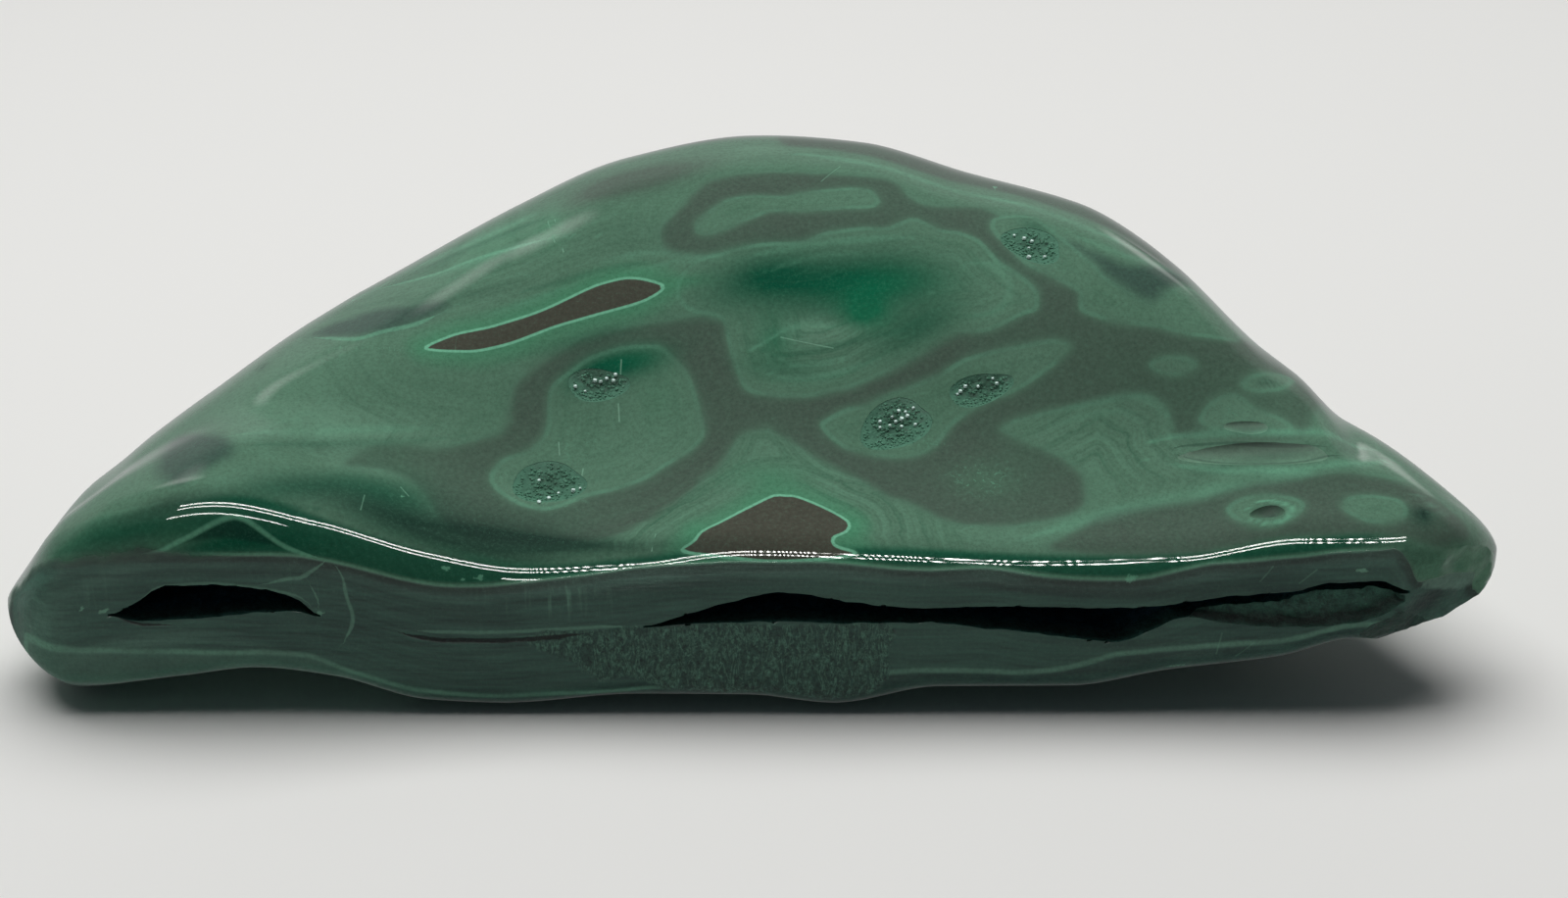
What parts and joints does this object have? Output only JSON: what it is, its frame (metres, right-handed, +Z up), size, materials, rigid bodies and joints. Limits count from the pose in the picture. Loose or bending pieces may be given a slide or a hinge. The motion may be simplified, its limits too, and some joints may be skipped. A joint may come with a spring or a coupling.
{
  "type": "malachite freeform",
  "caption": "Half-moon slab of banded malachite, polished mound on top, flat sawn face in front with two natural slits, crystal-lined hollows, ground flat base.",
  "frame": {"origin": "under the middle of the stone, at the height of its ground base", "axes": "+X along the length, +Y from the sawn face towards the back, +Z up"},
  "size_m": [0.1598, 0.078, 0.044],
  "materials": {
    "malachite": "banded green, polished on top, dull sawn face in front, rough where it is broken",
    "malachite_crystals": "tiny sparkling green crystals"
  },
  "bodies": {
    "root": {"malachite_stone": "malachite", "druse_left_upper": "malachite_crystals", "druse_left_lower": "malachite_crystals", "druse_centre_left": "malachite_crystals", "druse_centre_right": "malachite_crystals", "druse_upper_right": "malachite_crystals"}
  },
  "joints": []
}
